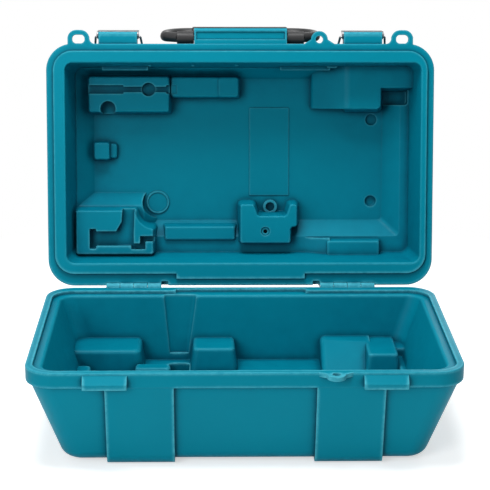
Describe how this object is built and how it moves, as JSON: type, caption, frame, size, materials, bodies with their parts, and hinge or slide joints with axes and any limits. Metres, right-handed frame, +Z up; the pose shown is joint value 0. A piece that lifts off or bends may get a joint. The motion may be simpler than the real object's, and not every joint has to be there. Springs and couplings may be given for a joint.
{
  "type": "tool carrying case",
  "caption": "Hard moulded carrying case with a pin-hinged lid, shaped tool nest, draw latches and a folding carrying handle.",
  "frame": {"origin": "on the floor, in the middle of the open case's footprint", "axes": "+X to the right seen from the latch side, +Y to the hinge side, +Z up"},
  "size_m": [0.44, 0.4105, 0.3971],
  "materials": {
    "shell_plastic": "satin moulded plastic with a fine grain",
    "handle_plastic": "satin black plastic",
    "latch_steel": "bright plated steel",
    "pin_steel": "plain steel wire"
  },
  "bodies": {
    "base": {"base_shell": "shell_plastic", "hinge_pin_left": "pin_steel", "hinge_pin_right": "pin_steel"},
    "lid": {"lid_shell": "shell_plastic", "handle_rod": "pin_steel", "latch_left_axle": "pin_steel", "latch_right_axle": "pin_steel"},
    "handle": {"handle_bow": "handle_plastic"},
    "lever_left": {"latch_left_lever": "latch_steel"},
    "lever_right": {"latch_right_lever": "latch_steel"},
    "wire_left": {"latch_left_wire": "latch_steel"},
    "wire_right": {"latch_right_wire": "latch_steel"}
  },
  "joints": [
    {"name": "lid_hinge", "type": "hinge", "parent": "base", "child": "lid", "pos_m": [0, 0.08584, 0.1081], "axis": [1, 0, 0], "range_deg": [0, 100.3]},
    {"name": "handle_hinge", "type": "hinge", "parent": "lid", "child": "handle", "pos_m": [0, 0.14732, 0.38548], "axis": [1, 0, 0], "range_deg": [0, 84]},
    {"name": "lever_left_hinge", "type": "hinge", "parent": "lid", "child": "lever_left", "pos_m": [-0.139, 0.14321, 0.38968], "axis": [1, 0, 0], "range_deg": [0, 140]},
    {"name": "wire_left_hinge", "type": "hinge", "parent": "lever_left", "child": "wire_left", "pos_m": [-0.139, 0.14768, 0.38633], "axis": [1, 0, 0], "range_deg": [0, 221.3]},
    {"name": "lever_right_hinge", "type": "hinge", "parent": "lid", "child": "lever_right", "pos_m": [0.139, 0.14321, 0.38968], "axis": [1, 0, 0], "range_deg": [0, 140]},
    {"name": "wire_right_hinge", "type": "hinge", "parent": "lever_right", "child": "wire_right", "pos_m": [0.139, 0.14768, 0.38633], "axis": [1, 0, 0], "range_deg": [0, 221.3]}
  ]
}
